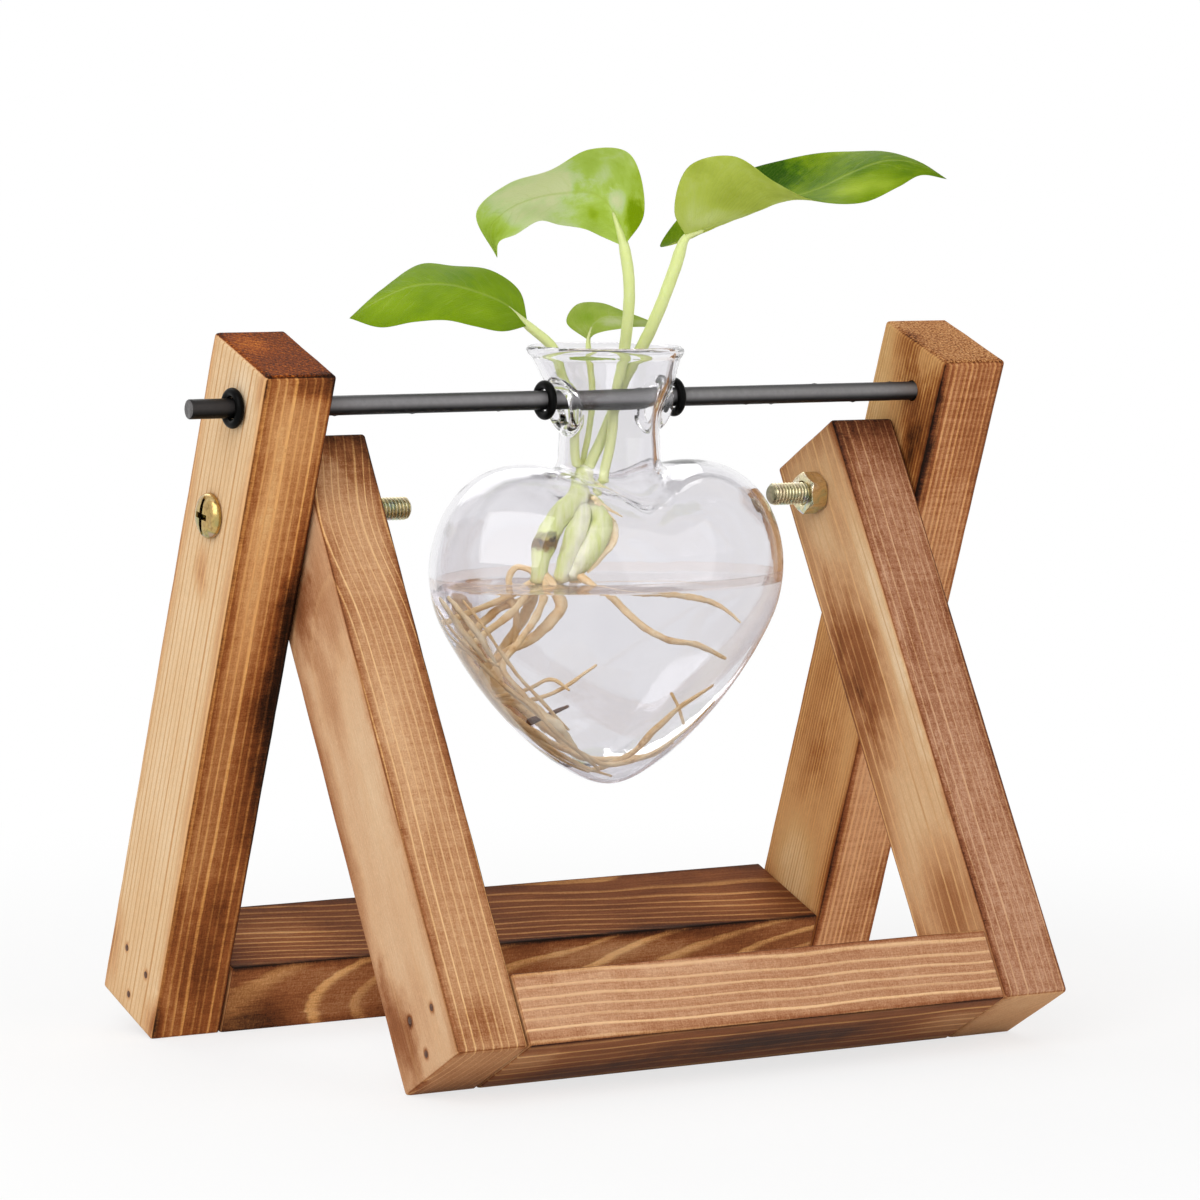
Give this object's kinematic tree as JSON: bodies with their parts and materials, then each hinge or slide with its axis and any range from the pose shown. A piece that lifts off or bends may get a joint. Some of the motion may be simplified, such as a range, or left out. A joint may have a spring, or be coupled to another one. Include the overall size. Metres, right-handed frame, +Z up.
{
  "type": "hanging glass planter",
  "caption": "Clear heart-shaped glass bulb vase with a rooted cutting, hung by its neck from a black rod in a folding A-shaped torched pine stand.",
  "frame": {"origin": "centre of the bounding box's footprint, on the ground", "axes": "+X along the hanging rod, -Y towards the short front frame, +Z up"},
  "size_m": [0.241, 0.1522, 0.2296],
  "materials": {
    "pine": "torched satin, brown growth lines, scorched edges",
    "pine_rail": "torched satin, darker",
    "nail_steel": "dark brown brad heads",
    "yellow_zinc": "yellow zinc plated steel",
    "black_rod": "satin black paint",
    "black_rubber": "smooth semi-gloss",
    "clear_glass": "clear blown glass",
    "water": "clear water",
    "leaf": "waxy green leaf",
    "root": "pale green stem and tan roots"
  },
  "bodies": {
    "rear_frame": {"rear_post_left": "pine", "rear_post_right": "pine", "rear_rail": "pine_rail", "rear_nail_left_upper": "nail_steel", "rear_nail_left_front": "nail_steel", "rear_nail_left_lower": "nail_steel", "rear_nail_right_upper": "nail_steel", "rear_nail_right_front": "nail_steel", "rear_nail_right_lower": "nail_steel", "pivot_bolt_left": "yellow_zinc", "pivot_bolt_right": "yellow_zinc", "pivot_nut_left": "yellow_zinc", "pivot_nut_right": "yellow_zinc"},
    "front_frame": {"front_post_left": "pine", "front_post_right": "pine", "front_rail": "pine_rail", "front_nail_left_upper": "nail_steel", "front_nail_left_front": "nail_steel", "front_nail_left_lower": "nail_steel", "front_nail_right_upper": "nail_steel", "front_nail_right_front": "nail_steel", "front_nail_right_lower": "nail_steel"},
    "rod": {"hanging_rod": "black_rod", "stop_ring_left_end": "black_rubber", "stop_ring_vase_left": "black_rubber", "stop_ring_vase_right": "black_rubber", "stop_ring_right_end": "black_rubber"},
    "vase": {"glass_vase": "clear_glass", "glass_neck": "clear_glass", "water": "water", "rooted_stem": "root", "leaf_left": "leaf", "leaf_centre": "leaf", "leaf_small": "leaf", "leaf_right": "leaf"}
  },
  "joints": [
    {"name": "frame_fold", "type": "hinge", "parent": "rear_frame", "child": "front_frame", "pos_m": [0, 0.01236, 0.13752], "axis": [1, 0, 0], "range_deg": [-40, 35.2]},
    {"name": "rod_spin", "type": "hinge", "parent": "rear_frame", "child": "rod", "pos_m": [0, -0.00117, 0.16506], "axis": [1, 0, 0], "continuous": true},
    {"name": "vase_swing", "type": "hinge", "parent": "rear_frame", "child": "vase", "pos_m": [0, -0.00117, 0.16506], "axis": [1, 0, 0], "range_deg": [-45, 45]}
  ]
}
